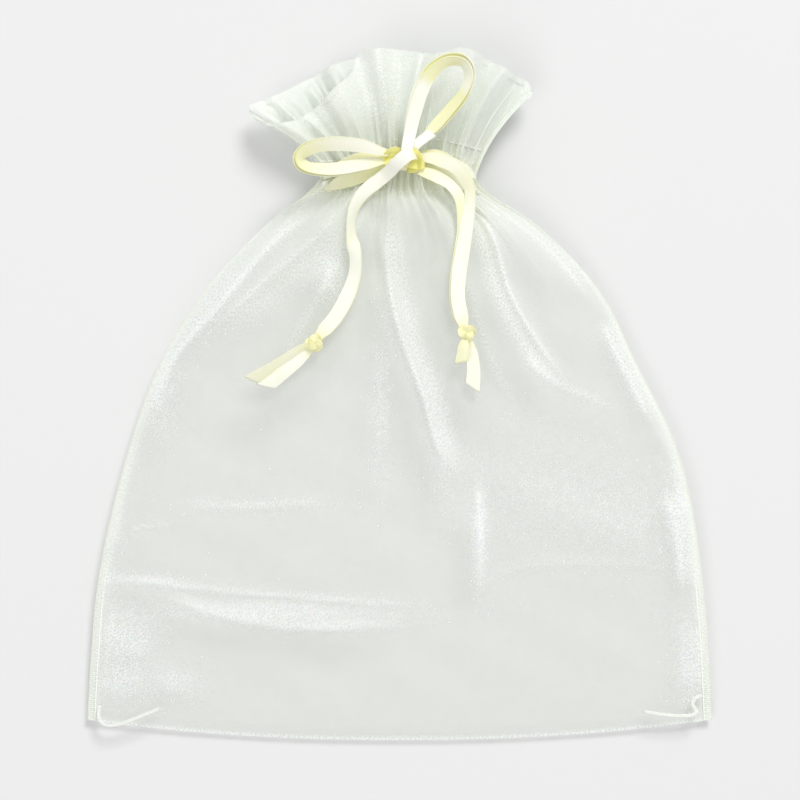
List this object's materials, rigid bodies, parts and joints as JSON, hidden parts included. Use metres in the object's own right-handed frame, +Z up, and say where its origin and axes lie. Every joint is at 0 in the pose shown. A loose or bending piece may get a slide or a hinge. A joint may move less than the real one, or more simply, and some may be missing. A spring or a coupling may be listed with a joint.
{
  "type": "drawstring gift pouch",
  "caption": "Flat sheer cloth pouch gathered at the neck by a tied ribbon drawstring, with a flared frill above; holds small gifts.",
  "frame": {"origin": "on the table under the middle of the pouch's bounding box", "axes": "+X to the right of someone who looks down at the bow, +Y from the bottom fold to the frill, +Z up out of the table through the bow"},
  "size_m": [0.129, 0.1444, 0.023],
  "materials": {
    "organza": "sheer white organza with a soft pearl sparkle",
    "organza_double": "two layers of sheer white organza, folded over and gathered",
    "thread": "white polyester sewing and overlocking thread",
    "ribbon": "ivory double-faced satin ribbon with woven edges"
  },
  "bodies": {
    "pouch": {"back_panel": "organza", "back_frill": "organza_double", "left_side_seam": "thread", "right_side_seam": "thread", "back_lower_stitches": "thread", "back_upper_stitches": "thread", "left_ribbon_back_run": "ribbon", "right_ribbon_back_run": "ribbon"},
    "front_wall": {"front_panel": "organza", "front_frill": "organza_double", "left_thread_tail": "thread", "right_thread_tail": "thread", "front_lower_stitches": "thread", "front_upper_stitches": "thread", "left_ribbon_front_run": "ribbon", "right_ribbon_front_run": "ribbon", "left_exit_top_strand": "ribbon", "left_exit_under_strand": "ribbon", "right_exit_top_strand": "ribbon", "right_exit_under_strand": "ribbon", "bow_knot": "ribbon"},
    "left_loop": {"left_loop_outer_strand": "ribbon", "left_loop_inner_strand": "ribbon"},
    "right_loop": {"right_loop_outer_strand": "ribbon", "right_loop_inner_strand": "ribbon"},
    "left_tail": {"left_tail_top_strand": "ribbon", "left_tail_under_strand": "ribbon"},
    "right_tail": {"right_tail_top_strand": "ribbon", "right_tail_under_strand": "ribbon"},
    "left_tail_end": {"left_end_knot": "ribbon", "left_wide_cut_end": "ribbon", "left_narrow_cut_end": "ribbon"},
    "right_tail_end": {"right_end_knot": "ribbon", "right_long_cut_end": "ribbon", "right_short_cut_end": "ribbon"}
  },
  "joints": [
    {"name": "mouth_open", "type": "hinge", "parent": "pouch", "child": "front_wall", "pos_m": [0, -0.0722, 0.0014], "axis": [1, 0, 0], "range_deg": [0, 8]},
    {"name": "left_loop_lift", "type": "hinge", "parent": "front_wall", "child": "left_loop", "pos_m": [-0.0034, 0.0493, 0.01993], "axis": [0, 1, 0], "range_deg": [0, 60]},
    {"name": "right_loop_lift", "type": "hinge", "parent": "front_wall", "child": "right_loop", "pos_m": [0.0034, 0.0531, 0.01973], "axis": [0.927, -0.375, 0], "range_deg": [0, 60]},
    {"name": "left_tail_swing", "type": "hinge", "parent": "front_wall", "child": "left_tail", "pos_m": [-0.0024, 0.0457, 0.01573], "axis": [0, 0, 1], "range_deg": [-20, 8]},
    {"name": "right_tail_swing", "type": "hinge", "parent": "front_wall", "child": "right_tail", "pos_m": [0.005, 0.0479, 0.01583], "axis": [0, 0, 1], "range_deg": [-8, 20]},
    {"name": "left_end_lift", "type": "hinge", "parent": "left_tail", "child": "left_tail_end", "pos_m": [-0.0163, 0.0128, 0.01743], "axis": [-0.7507, 0.6606, 0], "range_deg": [0, 60]},
    {"name": "right_end_lift", "type": "hinge", "parent": "right_tail", "child": "right_tail_end", "pos_m": [0.013, 0.0153, 0.01753], "axis": [-1, 0, 0], "range_deg": [0, 60]}
  ]
}
